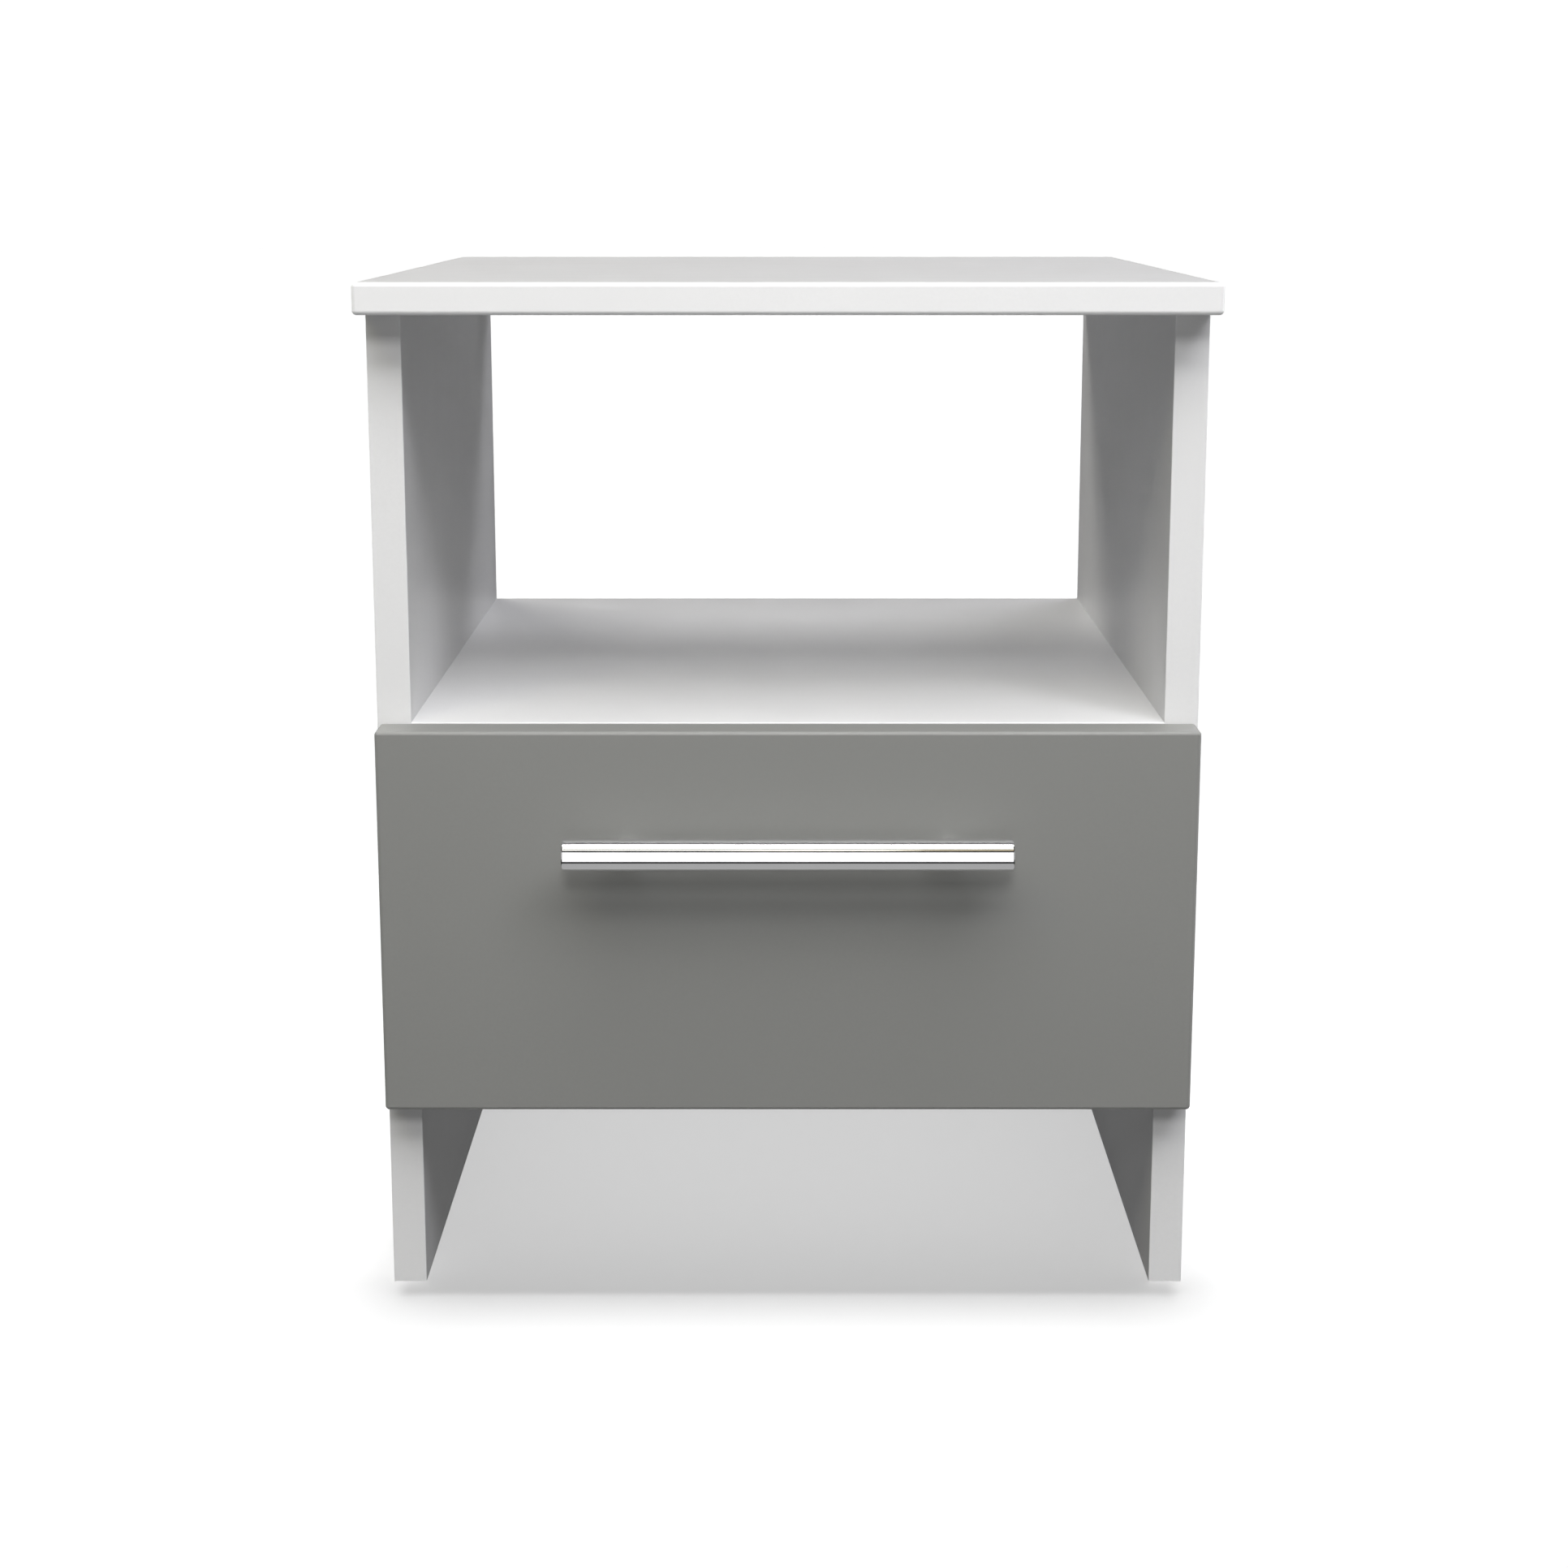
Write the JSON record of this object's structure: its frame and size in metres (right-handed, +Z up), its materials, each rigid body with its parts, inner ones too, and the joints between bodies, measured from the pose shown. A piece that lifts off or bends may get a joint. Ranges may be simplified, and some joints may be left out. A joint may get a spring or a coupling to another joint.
{
  "type": "nightstand",
  "caption": "Low bedside table with an open backless bay under its top and a wide drawer with a round bar handle, standing on its side panels.",
  "frame": {"origin": "on the floor, at the centre of the footprint of the top board and the handle", "axes": "+X to the right seen from the front, +Y towards the back, +Z up; the drawer opens towards -Y"},
  "size_m": [0.415, 0.4149, 0.52],
  "materials": {
    "white_board": "satin white laminate on chipboard",
    "white_edging": "satin white edging",
    "white_hardboard": "white painted hardboard",
    "drawer_hardboard": "white painted hardboard",
    "grey_front": "matt grey foil wrap",
    "drawer_board": "satin white foil on chipboard",
    "beech": "plain beech",
    "white_steel": "white epoxy coat",
    "nylon": "natural nylon",
    "zinc_steel": "zinc plated",
    "chrome": "polished chrome"
  },
  "bodies": {
    "cabinet": {"back_panel": "white_hardboard", "back_panel_nails": "zinc_steel", "base_dowels": "beech", "base_front_tape": "white_edging", "base_panel": "white_board", "cabinet_runner_screws": "zinc_steel", "left_cabinet_roller_pin": "zinc_steel", "left_cabinet_runner": "white_steel", "left_side_back_tape": "white_edging", "left_side_front_tape": "white_edging", "left_side_panel": "white_board", "right_cabinet_roller_pin": "zinc_steel", "right_cabinet_runner": "white_steel", "right_side_back_tape": "white_edging", "right_side_front_tape": "white_edging", "right_side_panel": "white_board", "shelf_back_tape": "white_edging", "shelf_dowels": "beech", "shelf_front_tape": "white_edging", "shelf_panel": "white_board", "top_back_lipping": "white_edging", "top_dowels": "beech", "top_front_lipping": "white_edging", "top_left_lipping": "white_edging", "top_panel": "white_board", "top_right_lipping": "white_edging"},
    "drawer": {"drawer_back": "drawer_board", "drawer_bottom": "drawer_hardboard", "drawer_box_front": "drawer_board", "drawer_dowels": "beech", "drawer_front": "grey_front", "drawer_front_screws": "zinc_steel", "drawer_runner_screws": "zinc_steel", "handle_bar": "chrome", "handle_posts": "chrome", "handle_screws": "zinc_steel", "left_drawer_roller_pin": "zinc_steel", "left_drawer_runner": "white_steel", "left_drawer_side": "drawer_board", "right_drawer_roller_pin": "zinc_steel", "right_drawer_runner": "white_steel", "right_drawer_side": "drawer_board"},
    "left_cabinet_roller_body": {"left_cabinet_roller": "nylon"},
    "right_cabinet_roller_body": {"right_cabinet_roller": "nylon"},
    "left_drawer_roller_body": {"left_drawer_roller": "nylon"},
    "right_drawer_roller_body": {"right_drawer_roller": "nylon"}
  },
  "joints": [
    {"name": "drawer_slide", "type": "slide", "parent": "cabinet", "child": "drawer", "axis": [0, -1, 0], "range_m": [0, 0.26]},
    {"name": "left_cabinet_roller_spin", "type": "hinge", "parent": "cabinet", "child": "left_cabinet_roller_body", "pos_m": [-0.1833, -0.14395, 0.1376], "axis": [1, 0, 0], "continuous": true},
    {"name": "left_drawer_roller_spin", "type": "hinge", "parent": "drawer", "child": "left_drawer_roller_body", "pos_m": [-0.1822, 0.17805, 0.1363], "axis": [1, 0, 0], "continuous": true},
    {"name": "right_cabinet_roller_spin", "type": "hinge", "parent": "cabinet", "child": "right_cabinet_roller_body", "pos_m": [0.1833, -0.14395, 0.1376], "axis": [1, 0, 0], "continuous": true},
    {"name": "right_drawer_roller_spin", "type": "hinge", "parent": "drawer", "child": "right_drawer_roller_body", "pos_m": [0.1822, 0.17805, 0.1363], "axis": [1, 0, 0], "continuous": true}
  ],
  "couplings": [
    {"joint": "left_cabinet_roller_spin", "follows": "drawer_slide", "rad_per_m": 100},
    {"joint": "left_drawer_roller_spin", "follows": "drawer_slide", "rad_per_m": 100},
    {"joint": "right_cabinet_roller_spin", "follows": "drawer_slide", "rad_per_m": 100},
    {"joint": "right_drawer_roller_spin", "follows": "drawer_slide", "rad_per_m": 100}
  ]
}
